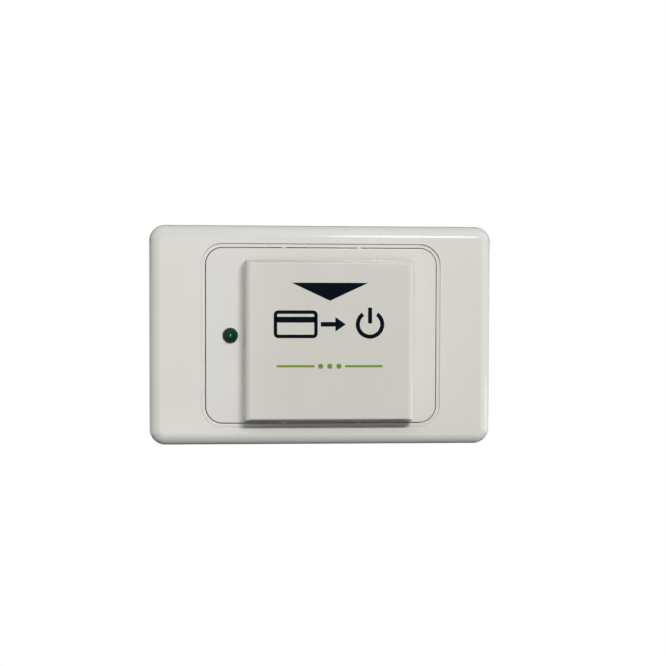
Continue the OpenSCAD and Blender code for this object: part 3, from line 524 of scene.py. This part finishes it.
# %% Sleeve of the small can, and the resistors' bands
low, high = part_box("smoothing_capacitor")
sleeve = [(0, "#26282e"), (0.84, "#b9bcc2")]
dress(banded("pvc_sleeve_with_stripe", "X", low.x, high.x - low.x, sleeve, 0.3), "smoothing_capacitor")
low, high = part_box("resistors")
coat, brown, black, red, gold = "#c9a778", "#5a3218", "#1c1a19", "#a32a1f", "#a8843a"
code = [(0, coat), (0.27, brown), (0.34, coat), (0.41, black), (0.48, coat), (0.55, red), (0.62, coat),
        (0.7, gold), (0.76, coat)]
dress(banded("lacquered_resistor_bands", "X", low.x, high.x - low.x, code, 0.35), "resistors")

# %% [markdown]
# ## Print on the pocket
# The pocket's front is pad printed: a soft pad stamps ink that is only about a hundredth of a
# millimetre thick. A down arrow says where the card goes in, a row of plain signs says card, then
# power, and a thin green rule closes the print. Each sign starts as a flat outline made with bmesh
# operators, and one extrusion gives it the thickness of its ink.


# %% Inks
def ink(name, colour, worn):
    """A flat, slightly uneven coat of printing ink."""
    return moulded(name, colour, worn, (0.06, 0.09), cloud_mm=2, ripple_mm=0.3, ripple_high_mm=0.001, ior=1.3)


dark_ink = ink("dark_pad_ink", "#0d151e", "#0a1119")
green_ink = ink("green_pad_ink", "#7c9443", "#708a3a")
print("Inks:", dark_ink.name, "and", green_ink.name)

# %% Stand a flat outline on the pocket's front
INK_HIGH = 0.012 * MM
print_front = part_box("card_holder")[0].y
print("Print lies at y =", round(print_front / MM, 3), "mm")


def printed(name, outline, material, x, z):
    """Extrude a flat outline to the ink's thickness and stand it upright on the pocket at x, z in mm."""
    coat = bmesh.ops.extrude_face_region(outline, geom=outline.faces[:])
    top = [part for part in coat["geom"] if isinstance(part, bmesh.types.BMVert)]
    bmesh.ops.translate(outline, verts=top, vec=(0, 0, INK_HIGH))
    upright = Matrix.Translation((x * MM, print_front, z * MM)) @ Matrix.Rotation(math.radians(90), 4, "X")
    bmesh.ops.transform(outline, matrix=upright, verts=outline.verts)
    bmesh.ops.recalc_face_normals(outline, faces=outline.faces[:])
    piece = new_object(name, outline, material)
    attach(piece, "body")
    print(name, "has", len(piece.data.polygons), "faces")


# %% The down arrow
PRINT_X = 2.05
ARROW_W, ARROW_H = 25.2, 5.9
ARROW_TOP = 17.75
ARROW_ROUND = 0.06

arrow = bmesh.new()
corners = [(-ARROW_W / 2, ARROW_H), (0, 0), (ARROW_W / 2, ARROW_H)]
arrow.faces.new([arrow.verts.new((x * MM, y * MM, 0)) for x, y in corners])
bmesh.ops.bevel(arrow, geom=arrow.verts[:], offset=ARROW_ROUND * MM, affect="VERTICES", segments=2,
                profile=0.5, material=-1)
printed("print_arrow", arrow, dark_ink, PRINT_X, ARROW_TOP - ARROW_H)


# %% A card sign
def rounded(outline, w, h, r, x=0, y=0):
    """Add a flat rounded rectangle, w by h in mm with corners r, at x, y."""
    made = bmesh.ops.create_grid(outline, x_segments=1, y_segments=1, size=0.5)["verts"]
    bmesh.ops.scale(outline, verts=made, vec=(w * MM, h * MM, 1))
    bmesh.ops.translate(outline, verts=made, vec=(x * MM, y * MM, 0))
    bmesh.ops.bevel(outline, geom=made, offset=r * MM, affect="VERTICES", segments=5, profile=0.5,
                    material=-1)


SIGN_Z = 4.15
SIGN_LINE = 1.15
CARD_X = -11.2
CARD_W, CARD_H, CARD_ROUND = 14.4, 9.1, 1.5
STRIPE_H, STRIPE_ROUND, STRIPE_Y = 1.9, 0.05, 1.5

sign = bmesh.new()
rounded(sign, CARD_W, CARD_H, CARD_ROUND)
bmesh.ops.inset_region(sign, faces=sign.faces[:], thickness=SIGN_LINE * MM, use_boundary=True,
                       use_even_offset=True)
middle = min(sign.faces, key=lambda face: face.calc_center_median().length)
bmesh.ops.delete(sign, geom=[middle], context="FACES")
rounded(sign, CARD_W - SIGN_LINE, STRIPE_H, STRIPE_ROUND, y=STRIPE_Y)
printed("print_card", sign, dark_ink, PRINT_X + CARD_X, SIGN_Z)

# %% An arrow from the card to the power sign
POINTER_X = 1.2
SHAFT_W, SHAFT_H, SHAFT_ROUND, SHAFT_X = 5.2, 1.5, 0.1, -1.6
HEAD_BACK, HEAD_TIP, HEAD_HALF = 0.6, 4.0, 2.4

pointer = bmesh.new()
rounded(pointer, SHAFT_W, SHAFT_H, SHAFT_ROUND, x=SHAFT_X)
head = [(HEAD_BACK, -HEAD_HALF), (HEAD_TIP, 0), (HEAD_BACK, HEAD_HALF)]
pointer.faces.new([pointer.verts.new((x * MM, y * MM, 0)) for x, y in head])
printed("print_pointer", pointer, dark_ink, PRINT_X + POINTER_X, SIGN_Z)

# %% The power sign: an open ring and a bar
POWER_X = 13.2
POWER_LINE = SIGN_LINE * 1.15
RING_R = 4.7
RING_GAP = math.radians(70)
RING_STEPS = 44
BAR_H, BAR_ROUND, BAR_Y = 5.2, 0.2, 2.9

power = bmesh.new()
ends = [power.verts.new((0, r * MM, 0)) for r in (RING_R - POWER_LINE, RING_R)]
edge = power.edges.new(ends)
bmesh.ops.rotate(power, verts=ends, matrix=Matrix.Rotation(RING_GAP / 2, 3, "Z"))
bmesh.ops.spin(power, geom=[edge, *ends], axis=(0, 0, 1), cent=(0, 0, 0), angle=math.tau - RING_GAP,
               steps=RING_STEPS)
rounded(power, POWER_LINE, BAR_H, BAR_ROUND, y=BAR_Y)
printed("print_power", power, dark_ink, PRINT_X + POWER_X, SIGN_Z)

# %% The green rule with three dots
RULE_Z = -9.6
RULE_W, RULE_H, RULE_ROUND, RULE_X = 12.5, 0.7, 0.34, 11.2
DOT_R, DOT_PITCH, DOT_SIDES = 0.85, 3, 24

rule = bmesh.new()
for side in (-1, 1):
    rounded(rule, RULE_W, RULE_H, RULE_ROUND, x=side * RULE_X)
for step in (-1, 0, 1):
    dot = bmesh.ops.create_circle(rule, cap_ends=True, segments=DOT_SIDES, radius=DOT_R * MM)
    bmesh.ops.translate(rule, verts=dot["verts"], vec=(step * DOT_PITCH * MM, 0, 0))
printed("print_rule", rule, green_ink, PRINT_X, RULE_Z)
